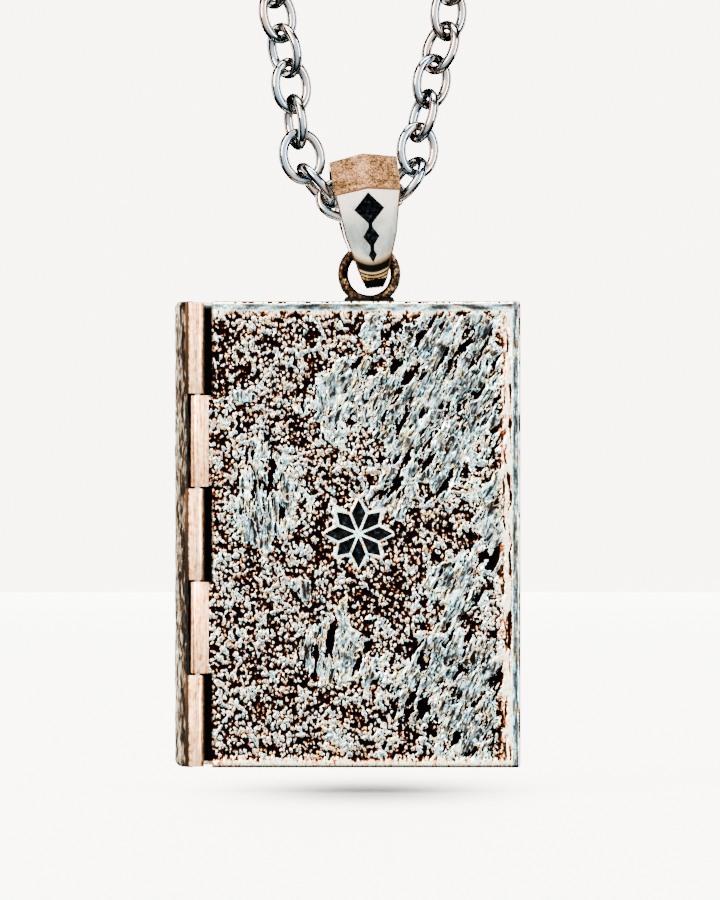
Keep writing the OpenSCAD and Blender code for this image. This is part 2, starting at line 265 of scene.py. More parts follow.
def stroked_plates(tree, spot, bent, eased):
    """The smooth places, drawn out into strokes: how high the metal stands there, and its value."""
    x, _, z = add(tree, SPLIT, (spot,)).node.outputs
    right = add(tree, RANGE, (x, -5.0, 6.0))
    up = add(tree, RANGE, (z, -170.0, -142.0, 0.35, 1.0))
    corner = add(tree, MATH, (right, up), operation="MULTIPLY")
    lean = add(tree, RANGE, (corner, 0.08, 0.3), interpolation_type="SMOOTHSTEP")
    turned = add(tree, ROTATE, {"Vector": eased, "Angle": STROKE_LEAN}, rotation_type="Y_AXIS")

    def strokes(across, along, detail):
        slanted = grain(tree, turned, (across, 1.0, along), detail, 0.6)
        upright = grain(tree, eased, (across, 1.0, along * 0.7), detail, 0.6)
        return add(tree, MIX, {0: lean, 2: upright, 3: slanted})

    slow = add(tree, RANGE, (cloud(tree, spot, 0.45), 0.35, 0.65, -0.03, 0.03))
    deep = add(tree, MATH, (strokes(1.7, 0.52, 4.0), slow))
    thin = add(tree, MATH, (strokes(3.4, 1.0, 2.0), 0.07))
    high = add(tree, MATH, (deep, thin), operation="MINIMUM")

    hatch = strokes(5.2, 1.1, 3.0)
    tone = add(tree, RANGE, (cloud(tree, eased, 0.7, 3.0, 0.6), 0.38, 0.62, 0.3, 0.62))
    tone = add(tree, MATH, (tone, add(tree, RANGE, (hatch, 0.4, 0.5, 0.6, 0.0))))
    tone = add(tree, MATH, (tone, add(tree, RANGE, (hatch, 0.52, 0.62, 0.0, -0.3))))
    foot = add(tree, RANGE, (high, 0.437, 0.46, 0.0, 0.47))
    rim = add(tree, RANGE, (high, 0.462, 0.49, 0.0, 0.52))
    plate = add(tree, MATH, (rim, tone, foot), operation="MULTIPLY_ADD")

    crack = add(tree, MATH, (grain(tree, bent, (0.7, 1.0, 0.1)), 0.5), operation="SUBTRACT")
    crack = add(tree, RANGE, (add(tree, MATH, (crack,), operation="ABSOLUTE"), 0.002, 0.011, 0.55, 1.0))
    return high, add(tree, MATH, (plate, crack), operation="MULTIPLY")


def near_star(tree, spot, ragged):
    """One on a ragged rim that follows the points of the star, on the front only."""
    away = add(tree, VECTOR, (spot, (STAR_MID[0], 0, STAR_MID[1] - NAPE.z)), operation="SUBTRACT")
    away = add(tree, VECTOR, (away, (1, 0, 1)), operation="MULTIPLY")
    across, _, up = add(tree, SPLIT, (away,)).node.outputs
    around = add(tree, MATH, (across, up), operation="ARCTAN2")
    points = add(tree, MATH, (add(tree, MATH, (around, 8.0), operation="MULTIPLY"),), operation="COSINE")
    away = add(tree, VECTOR, (away,), out=1, operation="LENGTH")
    away = add(tree, MATH, (points, -0.42, away), operation="MULTIPLY_ADD")
    away = add(tree, MATH, (ragged, -0.3, away), operation="MULTIPLY_ADD")
    rim = add(tree, RANGE, (away, 1.9, 2.15, 1.0, 0.0))
    in_front = add(tree, MATH, (add(tree, SPLIT, (spot,), out=1), -NAPE.y), operation="LESS_THAN")
    return add(tree, MATH, (rim, in_front), operation="MULTIPLY")


def between(tree, value, rise, fall):
    """One between two slopes of a value, and zero outside them."""
    rise = add(tree, RANGE, (value, *rise))
    fall = add(tree, RANGE, (value, *fall, 1.0, 0.0))
    return add(tree, MATH, (rise, fall), operation="MULTIPLY")


def cast_fields(tree, spot):
    """The cast surface as a value, and how far a place lies in the bright bands along the edges.

    The value is under 0.35 in pits, 0.45 to 0.6 on their rims and up to 1 on dull plateaus.
    """
    fine = grain(tree, spot, (6.5, 5.0, 4.0), 2.0, 0.6)
    bent = strayed(tree, spot, 0.9, 0.8)
    eased = strayed(tree, spot, 0.8, 0.45)
    high, plate = stroked_plates(tree, spot, bent, eased)
    stipple = stippled_ground(tree, spot, fine)

    # A smooth place ends in a bright rim, with deeper pits along its foot
    zone = grain(tree, bent, (0.34, 0.34, 0.272), 5.0, 0.66)
    smooth_spots = smooth_places(tree, strayed(tree, spot, 0.5, 3.6, 3.0, 0.6))
    zone = add(tree, MATH, (smooth_spots, 0.3, zone), operation="MULTIPLY_ADD")
    shore = between(tree, zone, (0.495, 0.51), (0.522, 0.545))
    shore = add(tree, MATH, (shore, add(tree, RANGE, (high, 0.45, 0.5, 0.0, 0.85))), operation="MULTIPLY")
    moat = between(tree, zone, (0.45, 0.475), (0.488, 0.5))
    zone = add(tree, RANGE, (zone, 0.492, 0.515), interpolation_type="SMOOTHSTEP")
    plate = add(tree, MIX, {0: shore, 2: plate, 3: 0.49})
    stipple = add(tree, MATH, (moat, -0.12, stipple), operation="MULTIPLY_ADD")
    value = add(tree, MIX, {0: zone, 2: stipple, 3: plate})

    # Rubbed edges: a ragged bright band along the fore edge, the tail and the head
    x, _, z = add(tree, SPLIT, (spot,)).node.outputs
    fore = add(tree, MATH, (FORE, x), operation="SUBTRACT")
    head = add(tree, MATH, (HEAD_Z, z), operation="SUBTRACT")
    tail = add(tree, MATH, (z, TAIL_Z), operation="SUBTRACT")
    ragged = add(tree, MATH, (grain(tree, spot, (1.1, 1.1, 0.66), 4.0, 0.65), 1.5), operation="MULTIPLY")
    band = 0.0
    for edge, full, none in ((fore, 0.4, 1.1), (tail, -0.3, 0.2), (head, 0.0, 0.6)):
        edge = add(tree, MATH, (edge, ragged), operation="SUBTRACT")
        edge = add(tree, RANGE, (edge, full, none, 1.0, 0.0))
        band = add(tree, MATH, (band, edge), operation="MAXIMUM")
    bright = add(tree, RANGE, (grain(tree, eased, (3.4, 1.0, 0.45), 3.0, 0.65), 0.4, 0.5, 0.22, 0.485))
    by_tail = add(tree, RANGE, (fine, 0.3, 0.6, 0.4, 0.485))
    by_tail = add(tree, MATH, (by_tail, add(tree, RANGE, (tail, 0.5, 0.8, 1.0, 0.0))), operation="MULTIPLY")
    bright = add(tree, MATH, (bright, by_tail), operation="MAXIMUM")
    value = add(tree, MIX, {0: band, 2: value, 3: bright})

    # A duller strip inside the band, streaked along the fore edge and cloudy along the head
    fore_strip = between(tree, fore, (0.12, 0.2), (0.5, 0.68))
    head_strip = between(tree, head, (0.15, 0.25), (0.55, 0.8))
    strip = add(tree, MATH, (fore_strip, head_strip), operation="MAXIMUM")
    streak = grain(tree, spot, (5.0, 1.0, 0.9), 3.0, 0.65)
    worn = add(tree, MIX, {0: fore_strip, 2: grain(tree, spot, (0.6, 1.0, 2.0)), 3: streak})
    value = add(tree, MIX, {0: strip, 2: value, 3: add(tree, RANGE, (worn, 0.36, 0.62, 0.86, 0.58))})

    round_star = add(tree, RANGE, (fine, 0.4, 0.65, 0.45, 0.6))
    value = add(tree, MIX, {0: near_star(tree, spot, ragged), 2: value, 3: round_star})
    return value, add(tree, MATH, (band, strip), operation="SUBTRACT")


def press(obj, name, push):
    """Moves a piece's points: push works out from their places, in millimetres, which ones and how far."""
    tree = bpy.data.node_groups.new(name, "GeometryNodeTree")
    tree.interface.new_socket("Geometry", in_out="INPUT", socket_type="NodeSocketGeometry")
    tree.interface.new_socket("Geometry", in_out="OUTPUT", socket_type="NodeSocketGeometry")
    start = add(tree, "NodeGroupInput")
    spot = add(tree, VECTOR, {0: add(tree, "GeometryNodeInputPosition"), "Scale": 1 / MM}, operation="SCALE")
    chosen, shift = push(tree, spot)
    shift = add(tree, VECTOR, {0: shift, "Scale": MM}, operation="SCALE")
    moved = add(tree, "GeometryNodeSetPosition", {0: start, 1: chosen, 3: shift})
    tree.links.new(moved, tree.nodes.new("NodeGroupOutput").inputs[0])
    modifier = obj.modifiers.new(name, "NODES")
    modifier.node_group = tree
    only(obj)
    bpy.ops.object.modifier_apply(modifier=modifier.name)


def rounded_off(tree, gap, reach, drop):
    """A quarter round that drops away over the last stretch before an edge."""
    rest = add(tree, RANGE, (gap, 0.0, reach, 1.0, 0.0))
    rest = add(tree, MATH, (rest, rest), operation="MULTIPLY")
    height = add(tree, MATH, (add(tree, MATH, (1.0001, rest), operation="SUBTRACT"),), operation="SQRT")
    return add(tree, MATH, (add(tree, MATH, (1.0, height), operation="SUBTRACT"), drop), operation="MULTIPLY")


def cast_relief(tree, spot, depth, swell, left, front):
    """Presses the cast surface into a cover's front or back, and rounds off its edges."""
    value, _ = cast_fields(tree, spot)
    x, y, z = add(tree, SPLIT, (spot,)).node.outputs
    sink = add(tree, RANGE, (value, 0.12, 0.5, depth, 0.0), interpolation_type="SMOOTHSTEP")
    sink = add(tree, MATH, (cloud(tree, spot, 0.22), swell, sink), operation="MULTIPLY_ADD")
    below_head = add(tree, MATH, (HEAD_Z, z), operation="SUBTRACT")
    row = add(tree, MATH, (below_head, KNUCKLE_H), operation="DIVIDE")
    tongue = add(tree, MATH, (add(tree, MATH, (row,), operation="FLOOR"), 2.0), operation="MODULO")
    gap = add(tree, MATH, (tongue, TONGUE, x), operation="MULTIPLY_ADD")
    gap = add(tree, MATH, (gap, left), operation="SUBTRACT")
    for other in (add(tree, MATH, (FORE, x), operation="SUBTRACT"), below_head,
                  add(tree, MATH, (z, TAIL_Z), operation="SUBTRACT")):
        gap = add(tree, MATH, (gap, other), operation="MINIMUM")
    sink = add(tree, MATH, (sink, rounded_off(tree, gap, 0.3, 0.26)))
    if front:
        return (add(tree, MATH, (y, FRONT - NAPE.y + 0.1), operation="LESS_THAN"),
                add(tree, MERGE, {1: sink}))
    sink = add(tree, MATH, (sink, -1.0), operation="MULTIPLY")
    return (add(tree, MATH, (y, BACK - NAPE.y - 0.1), operation="GREATER_THAN"),
            add(tree, MERGE, {1: sink}))


# Materials

def new_material(name, roughness=0.35, metallic=1.0):
    """A material, its nodes, its shader, and its places in millimetres of the frame."""
    mat = bpy.data.materials.new(name)
    mat.use_nodes = True
    tree = mat.node_tree
    shader = tree.nodes["Principled BSDF"]
    shader.inputs["Metallic"].default_value = metallic
    shader.inputs["Roughness"].default_value = roughness
    at = add(tree, "ShaderNodeTexCoord", out=3)
    return mat, tree, shader, add(tree, VECTOR, {0: at, "Scale": 1 / MM}, operation="SCALE")


def finish(tree, shader, colour, height, depth, strength=1.0, rough=None):
    """Gives the metal its colour, a fine relief of a depth in millimetres and a roughness that varies."""
    normal = add(tree, "ShaderNodeBump", {"Height": height, "Distance": depth * MM, "Strength": strength})
    tree.links.new(normal, shader.inputs["Normal"])
    tree.links.new(colour, shader.inputs["Base Color"])
    if rough is not None:
        tree.links.new(rough, shader.inputs["Roughness"])


def cast_silver():
    """Sterling silver, cast rough, blackened with liver of sulphur and rubbed bright on the high places."""
    mat, tree, shader, spot = new_material("cast_silver_oxidised")
    value, band = cast_fields(tree, spot)
    fleck = add(tree, RANGE, (cloud(tree, spot, 6.0, 2.0, 0.6), 0.3, 0.7, -0.06, 0.06))
    shade = add(tree, MATH, (value, fleck))
    colour = add(tree, RAMP, (shade,), stops=[
        (0.0, "#020102"), (0.26, "#070303"), (0.33, "#270f06"), (0.39, "#743c19"), (0.435, "#cc9466"),
        (0.475, "#f0f1de"), (0.535, "#c6fff4"), (0.6, "#7c9193"), (0.67, "#525d5f"), (0.76, "#2f3233"),
        (0.87, "#1a1410"), (1.0, "#0b0706")])
    tint = add(tree, RAMP, (cloud(tree, spot, 1.3, 3.0, 0.6),), stops=[
        (0.38, "#cdeef8"), (0.47, "#ffffff"), (0.53, "#ffffff"), (0.62, "#ffd8aa")])
    tint = add(tree, MIX, {0: band, 6: tint, 7: linear("#fff4e6")}, 2, data_type="RGBA")
    colour = add(tree, VECTOR, (colour, tint), operation="MULTIPLY")
    rough = add(tree, RANGE, (shade, 0.3, 0.5, 0.6, 0.34))
    finish(tree, shader, colour, add(tree, RANGE, (value, 0.25, 0.5)), 0.04, 0.5, rough)
    return mat


def spine_grain(tree, spot):
    """Fine upright grain, about a third of a millimetre wide."""
    return grain(tree, spot, (3.4, 3.4, 0.8), 4.0, 0.62)


def spine_silver():
    """The same cast silver on the spine: fine upright grain, duller and browner."""
    mat, tree, shader, spot = new_material("cast_silver_spine", 0.42)
    fine = add(tree, MATH, (spine_grain(tree, spot), 0.75), operation="MULTIPLY")
    patch = grain(tree, spot, (0.7, 0.7, 0.25), 3.0, 0.6)
    shade = add(tree, MATH, (patch, 0.35, fine), operation="MULTIPLY_ADD")
    inward = add(tree, RANGE, (add(tree, SPLIT, (spot,)), SPINE + 0.25, SPINE + 0.65, 0.03, -0.04))
    shade = add(tree, MATH, (shade, inward))
    colour = add(tree, RAMP, (shade,), stops=[
        (0.46, "#030201"), (0.5, "#1c110a"), (0.535, "#4c3c2b"), (0.575, "#8e806c"), (0.625, "#c9c2ae"),
        (0.69, "#f4f3e6")])
    finish(tree, shader, colour, shade, 0.16)
    return mat


def bright_silver(name, code, rough, wear):
    """Silver filed and burnished smooth, with faint scratches and a little oxide left."""
    mat, tree, shader, spot = new_material(name)
    scratch = grain(tree, spot, (9.0, 9.0, 1.2), 3.0, 0.6)
    oxide = cloud(tree, spot, 0.9, 3.0, 0.6)
    where = add(tree, RANGE, (oxide, 0.35, 0.7))
    colour = add(tree, MIX, {0: where, 6: linear(code), 7: linear(wear)}, 2, data_type="RGBA")
    roughness = add(tree, RANGE, (scratch, 0.3, 0.7, rough - 0.05, rough + 0.12))
    finish(tree, shader, colour, add(tree, MATH, (scratch, oxide)), 0.02, 0.5, roughness)
    return mat


def knuckle_silver():
    """Burnished silver on the hinge, drawn into fine upright lines, with brown oxide along the spine."""
    mat, tree, shader, spot = new_material("silver_hinge_drawn")
    line = grain(tree, spot, (6.5, 6.5, 0.4), 3.0, 0.6)
    fleck = grain(tree, spot, (3.64, 3.64, 2.6), 3.0, 0.65)
    shade = add(tree, MATH, (fleck, 0.4), operation="MULTIPLY")
    shade = add(tree, MATH, (line, 0.6, shade), operation="MULTIPLY_ADD")
    colour = add(tree, RAMP, (shade,), stops=[
        (0.36, "#5e3116"), (0.43, "#c07a46"), (0.5, "#efae79"), (0.6, "#ffdab0")])
    root = add(tree, MATH, (add(tree, SPLIT, (spot,)), add(tree, RANGE, (fleck, 0.3, 0.7, -0.05, 0.05))))
    root = add(tree, RANGE, (root, LIP_X + 0.14, LIP_X + 0.26))
    colour = add(tree, MIX, {0: root, 6: linear("#24170d"), 7: colour}, 2, data_type="RGBA")
    finish(tree, shader, colour, shade, 0.05, 0.7, add(tree, RANGE, (line, 0.3, 0.7, 0.4, 0.26)))
    return mat


def black_silver(name, worn):
    """Silver left black: oxide at the bottom of an engraving or a hollow, and painted shade in a gap."""
    mat, tree, shader, spot = new_material(name, 0.5)
    fleck = cloud(tree, spot, 3.2, 3.0, 0.65)
    colour = add(tree, RAMP, (fleck,), stops=[(0.4, "#020203"), (0.58, "#080a0b"), (0.7, worn)])
    finish(tree, shader, colour, fleck, 0.12)
    return mat


# The bail's place and turn in the hanging locket, as in the CAD source
BAIL_AT = Vector((-0.225, 0, 0))
BAIL_LEAN, BAIL_YAW = math.radians(5.4), math.radians(3)
BAIL_TURN = Matrix.Rotation(-BAIL_LEAN, 3, "Y") @ Matrix.Rotation(BAIL_YAW, 3, "Z")
# Half width of the bail and the height it has it at, from the ridge to the rounded end
BAIL_HALVES = [(2.56, 3.6), (2.5, 0.75), (1.95, -2.7), (0.98, -6.0), (0.62, -6.75)]
# How far the front stands out at its upper edge, how much it slants from there, and the reach of the hole
FACE_OUT, FACE_LEAN, HOLE_REACH = 3.35, math.radians(17), 2.3


def bail_parts(tree, spot):
    """X, Y and Z in millimetres of the bail's own frame, as sockets."""
    own = add(tree, VECTOR, (spot, BAIL_AT - NAPE), operation="SUBTRACT")
    own = add(tree, ROTATE, {"Vector": own, "Angle": BAIL_LEAN}, rotation_type="Y_AXIS")
    own = add(tree, ROTATE, {"Vector": own, "Angle": -BAIL_YAW}, rotation_type="Z_AXIS")
    return add(tree, SPLIT, (own,)).node.outputs


def tan_silver():
    """The bail's top as it left the mould: matt, pitted and stained tan, with a painted highlight along its
    ridge.
    """
    mat, tree, shader, spot = new_material("cast_silver_tan_matt", 0.58)
    x, y, _ = bail_parts(tree, spot)
    coarse = cloud(tree, spot, 1.0, 3.0, 0.6)
    pits = add(tree, MATH, (cloud(tree, spot, 6.5, 3.0, 0.7), 0.65), operation="MULTIPLY")
    shade = add(tree, MATH, (coarse, 0.4, pits), operation="MULTIPLY_ADD")
    # Painted highlight: the top is lighter along its ridge
    ridge = add(tree, MATH, (x, add(tree, RANGE, (coarse, 0.3, 0.7, -0.1, 0.5))))
    ridge = add(tree, MATH, (ridge,), operation="ABSOLUTE")
    shade = add(tree, MATH, (shade, add(tree, RANGE, (ridge, 0.0, 0.8, 0.08, 0.0))))
    colour = add(tree, RAMP, (shade,), stops=[
        (0.43, "#140a04"), (0.475, "#38250f"), (0.54, "#54391f"), (0.66, "#80634a")])
    inward = add(tree, RANGE, (y, -3.2, -3.05))
    colour = add(tree, MIX, {0: inward, 6: linear("#3a2213"), 7: colour}, 2, data_type="RGBA")
    finish(tree, shader, colour, shade, 0.1, 0.8)
    return mat


def ring_silver():
    """The eye's wire: silver stained brown and golden, pitted, black where it isn't rubbed, and black with
    painted shade at its foot on the book's head.
    """
    mat, tree, shader, spot = new_material("silver_wire_brown", 0.36)
    rub = add(tree, MATH, (cloud(tree, spot, 2.2, 4.0, 0.65), 0.55), operation="MULTIPLY")
    shade = add(tree, MATH, (cloud(tree, spot, 5.0, 2.0, 0.6), 0.45, rub), operation="MULTIPLY_ADD")
    colour = add(tree, RAMP, (shade,), stops=[
        (0.44, "#030201"), (0.52, "#1c120a"), (0.58, "#4a3722"), (0.65, "#bf9f74")])
    # Painted shade: the wire turns black at its foot, where it meets the book's head
    foot = add(tree, RANGE, (add(tree, SPLIT, (spot,), out=2), HEAD_Z + 0.1, HEAD_Z + 0.4, 1.0, 0.0))
    colour = add(tree, MIX, {0: foot, 6: colour, 7: linear("#040303")}, 2, data_type="RGBA")
    finish(tree, shader, colour, shade, 0.1, 0.9)
    return mat


def polished_steel():
    """Stainless steel wire, drawn and tumbled bright."""
    mat, tree, shader, spot = new_material("steel_polished")
    fine = cloud(tree, spot, 3.0, 3.0, 0.6)
    colour = add(tree, RAMP, (cloud(tree, spot, 0.5),), stops=[
        (0.38, "#6a777e"), (0.5, "#7c7a77"), (0.62, "#89786e")])
    finish(tree, shader, colour, fine, 0.012, 0.5, add(tree, RANGE, (fine, 0.3, 0.7, 0.06, 0.14)))
    return mat


CAST = cast_silver()
SPINE_CAST = spine_silver()
CREAM = knuckle_silver()
SATIN = bright_silver("silver_satin_inside", "#a9a49c", 0.38, "#857f76")
EDGE = bright_silver("silver_brown_edge", "#5a3e28", 0.34, "#24160c")
# Black oxide in engravings and hollows, also used as painted shade in the hinge slot and under the eye
DARK = black_silver("silver_black_oxide_and_shade", "#222c33")
GAP_BLACK = black_silver("silver_black_gap_shade", "#0b0a09")
TAN = tan_silver()
RING = ring_silver()
STEEL = polished_steel()


def dress(obj, *materials):
    obj.data.materials.clear()
    for mat in materials:
        obj.data.materials.append(mat)


# Front cover

def cast_sheet(name, left, y, depth, columns, rows):
    """A fine grid over the outside of a cover, with straight sides and a flat inside."""
    bpy.ops.mesh.primitive_grid_add(x_subdivisions=columns, y_subdivisions=rows, size=1)
    obj = made(name)
    obj.scale = ((FORE - left) * MM, (HEAD - TAIL) * MM, 1)
    obj.rotation_euler = (math.copysign(math.pi / 2, depth), 0, 0)
    obj.location = place((FORE + left) / 2, y, (HEAD + TAIL) / 2)
    freeze(obj)
    bpy.ops.object.mode_set(mode="EDIT")
    bpy.ops.mesh.select_all(action="SELECT")
    bpy.ops.mesh.region_to_loop()
    side = math.copysign(CAST_SIDE, depth)
    bpy.ops.mesh.extrude_region_move(TRANSFORM_OT_translate={"value": (0, side * MM, 0)})
    bpy.ops.mesh.extrude_region_move(TRANSFORM_OT_translate={"value": (0, (depth - side) * MM, 0)})
    bpy.ops.mesh.edge_face_add()
    bpy.ops.object.mode_set(mode="OBJECT")
    return obj


def cover_sheet():
    """The front cover, with tongues over its own knuckles and rounded corners on the right."""
    obj = cast_sheet("cover_plate", COVER_X, FRONT, COVER_BACK - FRONT, 228, 343)
    radius = 0.3
    for v in obj.data.vertices:
        x, z = v.co.x / MM, v.co.z / MM + NAPE.z
        row = (HEAD - z) / KNUCKLE_H
        if x < COVER_X + TONGUE_ROOT and math.floor(row) % 2 == 1 and 0.02 < row % 1 < 0.98:
            v.co.x -= TONGUE * (1 - (x - COVER_X) / TONGUE_ROOT) * MM
        for way, middle in ((1, HEAD - radius), (-1, TAIL + radius)):
            u, w = (x - (FORE - radius)) / radius, way * (z - middle) / radius
            if u > 0 and w > 0:
                v.co.x = (FORE - radius + radius * u * math.sqrt(1 - w * w / 2)) * MM
                v.co.z = (middle + way * radius * w * math.sqrt(1 - u * u / 2) - NAPE.z) * MM
    return obj


def star_cutter():
    """The eight-pointed star, with its boss and ribs left standing, as a solid that cuts the cover."""
    reach = [1, 0.6, 0.9, 0.6]
    outline = [(STAR_R * reach[k % 4] * math.sin(math.radians(22.5 * k)),
                STAR_R * reach[k % 4] * math.cos(math.radians(22.5 * k))) for k in range(16)]
    points = [(STAR_MID[0] + x, y, STAR_MID[1] + z)
              for y in (FRONT - 1, FRONT + STAR_DEPTH) for x, z in outline]
    faces = [tuple(range(16)), tuple(range(31, 15, -1))]
    faces += [(k, 16 + k, 16 + (k + 1) % 16, (k + 1) % 16) for k in range(16)]
    obj = mesh_object("star", points, faces)
    ribs = []
    for k in range(4):
        bpy.ops.mesh.primitive_cube_add(size=1)
        rib = made("rib")
        rib.scale = (RIB_W * MM, 4 * MM, 5.6 * MM)
        rib.rotation_euler = (0, math.radians(22.5 + 45 * k), 0)
        rib.location = place(STAR_MID[0], FRONT, STAR_MID[1])
        freeze(rib)
        ribs.append(rib)
    bpy.ops.mesh.primitive_cylinder_add(vertices=32, radius=BOSS_R * MM, depth=4 * MM)
    boss = made("boss")
    boss.rotation_euler = (math.pi / 2, 0, 0)
    boss.location = place(STAR_MID[0], FRONT, STAR_MID[1])
    freeze(boss)
    for tool in [*ribs, boss]:
        modify(obj, "BOOLEAN", operation="DIFFERENCE", solver="EXACT", object=tool)
        bpy.data.objects.remove(tool)
    dress(obj, DARK)
    return obj


def knuckle(i, from_x, to_x):
    """A knuckle of the hinge with the web that carries it and a bore for the pin."""
    top = HEAD - i * KNUCKLE_H - KNUCKLE_GAP / 2
    low = top - KNUCKLE_H + KNUCKLE_GAP
    barrel = rod("barrel", (PIN_X, PIN_Y, low), KNUCKLE_R, top - low, 0.05)
    web = box("web", (from_x, PIN_Y - KNUCKLE_R, low), (to_x, PIN_Y + KNUCKLE_R, top), 0.05)
    modify(barrel, "BOOLEAN", operation="UNION", solver="EXACT", object=web)
    bpy.data.objects.remove(web)
    bore = rod("bore", (PIN_X, PIN_Y, low - 1), PIN_R + PIN_PLAY, KNUCKLE_H + 2, 0.01, 24)
    modify(barrel, "BOOLEAN", operation="DIFFERENCE", solver="EXACT", object=bore)
    bpy.data.objects.remove(bore)
    return barrel


cover = cover_sheet()
dress(cover, CAST, SATIN, GAP_BLACK)
press(cover, "cover_relief", lambda tree, spot: cast_relief(tree, spot, 0.13, 0.14, COVER_X, True))
for face in cover.data.polygons:
    if face.center.y > (COVER_BACK - NAPE.y - 0.02) * MM:
        face.material_index = 1
    # Painted shade: the cover's edge along the hinge slot takes the black material
    elif face.normal.x < -0.8 and face.center.x < (COVER_X + 0.05) * MM:
        face.material_index = 2
star = star_cutter()
modify(cover, "BOOLEAN", operation="DIFFERENCE", solver="EXACT", object=star, material_mode="TRANSFER")
bpy.data.objects.remove(star)
smooth(cover, 60)
cover_knuckles = join("cover_knuckles", [knuckle(i, PIN_X, COVER_X - TONGUE + 0.12) for i in (1, 3)])
dress(cover_knuckles, CREAM)
smooth(cover_knuckles, 30)

# Book body: spine, back cover, pages with their hollow, knuckles and eye

def spine_arc():
    """Points across the spine from its front lip round to its back, in x and y."""
    bulge, chord = LIP_X - SPINE, BACK - LIP_Y
    radius = (chord * chord / 4 + bulge * bulge) / (2 * bulge)
    middle = (SPINE + radius, (BACK + LIP_Y) / 2)
    half = math.asin(chord / 2 / radius)
    steps = 64
    return [(middle[0] - radius * math.cos(half * (2 * k / steps - 1)),
             middle[1] + radius * math.sin(half * (2 * k / steps - 1))) for k in range(steps + 1)]


def spine_skin():
    arc = spine_arc()
    rows = 260
    section = arc + [(LIP_X + 0.4, BACK - 0.1), (LIP_X + 0.4, PAGE_FRONT), (LIP_X, PAGE_FRONT)]
    heights = [TAIL + (HEAD - TAIL) * k / rows for k in range(rows + 1)]
    points = [(x, y, z) for z in heights for x, y in section]
    return mesh_object("book_spine", points, ring_faces(len(heights), len(section)))


def spine_push(tree, spot):
    """Sinks the upright grain into the spine and rounds its two ends."""
    x, _, z = add(tree, SPLIT, (spot,)).node.outputs
    sink = add(tree, RANGE, (spine_grain(tree, spot), 0.35, 0.6, 0.16, 0.0))
    sink = add(tree, MATH, (cloud(tree, spot, 0.3), 0.16, sink), operation="MULTIPLY_ADD")
    gap = add(tree, MATH, (HEAD_Z, z), operation="SUBTRACT")
    gap = add(tree, MATH, (gap, add(tree, MATH, (z, TAIL_Z), operation="SUBTRACT")), operation="MINIMUM")
    rest = add(tree, RANGE, (gap, 0.0, 0.5, 1.0, 0.0))
    rest = add(tree, MATH, (rest, rest), operation="MULTIPLY")
    sink = add(tree, MATH, (rest, 0.3, sink), operation="MULTIPLY_ADD")
    chosen = add(tree, MATH, (x, LIP_X + 0.03), operation="LESS_THAN")
    return chosen, add(tree, MERGE, (sink,))


def page_ring():
    """The block of pages, with its hollow and the groove that the hinge turns in."""
    low = (LIP_X + 0.2, PAGE_FRONT, TAIL + PAGE_INSET)
    high = (FORE - PAGE_INSET, PAGE_BACK + 0.1, HEAD - PAGE_INSET)
    block = box("book_pages", low, high, 0.08)
    left = PIN_X + KNUCKLE_R + SPINE_RIM
    reach = PAGE_INSET + PAGE_RIM
    low = (left, PAGE_FRONT - 1, TAIL + reach)
    hollow = box("hollow", low, (FORE - reach, PAGE_BACK, HEAD - reach), 0.25, 4)
    modify(block, "BOOLEAN", operation="DIFFERENCE", solver="EXACT", object=hollow)
    bpy.data.objects.remove(hollow)
    groove = rod("groove", (PIN_X, PIN_Y, TAIL - 1), 0.8, HEAD - TAIL + 2, 0.01)
    modify(block, "BOOLEAN", operation="DIFFERENCE", solver="EXACT", object=groove)
    bpy.data.objects.remove(groove)
    modify(block, "BEVEL", width=0.05 * MM, segments=2, limit_method="ANGLE", angle_limit=math.radians(40))
    return block


# Width of a line of the leaves in millimetres, coarser than real leaves so that it shows
LEAF = 0.26


def page_silver():
    """Silver page edges: fine lines along the leaves, dark between them, and painted shade, black, along the
    hinge slot.
    """
    mat, tree, shader, spot = new_material("silver_page_edges", 0.36)
    x, y, _ = add(tree, SPLIT, (spot,)).node.outputs
    wander = grain(tree, spot, (0.35, 1.0, 0.35))
    leaf = add(tree, MATH, (wander, 0.35, y), operation="MULTIPLY_ADD")
    leaf = add(tree, MATH, (leaf, 2 * math.pi / LEAF), operation="MULTIPLY")
    leaf = add(tree, MATH, (leaf,), operation="SINE")
    facing = add(tree, SPLIT, (add(tree, "ShaderNodeNewGeometry", out=1),), out=1)
    facing = add(tree, MATH, (facing,), operation="ABSOLUTE")
    lines = add(tree, MIX, {0: add(tree, RANGE, (facing, 0.5, 0.7, 1.0, 0.0)), 2: 1.0,
                            3: add(tree, RANGE, (leaf, -0.6, 0.4))})
    colour = add(tree, RAMP, (lines,), stops=[(0.0, "#1c1814"), (0.45, "#8d8478"), (0.8, "#cfc9c0")])
    # Painted shade: black where the pages show through the slot by the cover's hinge edge
    slot_shade = add(tree, RANGE, (x, COVER_X + 0.3, COVER_X + 0.5, 1.0, 0.0))
    colour = add(tree, MIX, {0: slot_shade, 6: colour, 7: linear("#020202")}, 2, data_type="RGBA")
    finish(tree, shader, colour, lines, 0.05, 0.8)
    return mat


def eye_ring():
    bpy.ops.mesh.primitive_torus_add(major_radius=EYE_R * MM, minor_radius=EYE_WIRE / 2 * MM,
                                     major_segments=120, minor_segments=32)
    ring = made("book_eye")
    ring.rotation_euler = (math.pi / 2, 0, 0)
    ring.location = place(0, 0, EYE_Z)
    freeze(ring)
    rough = bpy.data.textures.new("eye_rough", "CLOUDS")
    rough.noise_scale = 0.5 * MM
    rough.noise_depth = 2
    modify(ring, "DISPLACE", texture=rough, strength=-0.07 * MM, mid_level=0.0, texture_coords="LOCAL")
    return ring


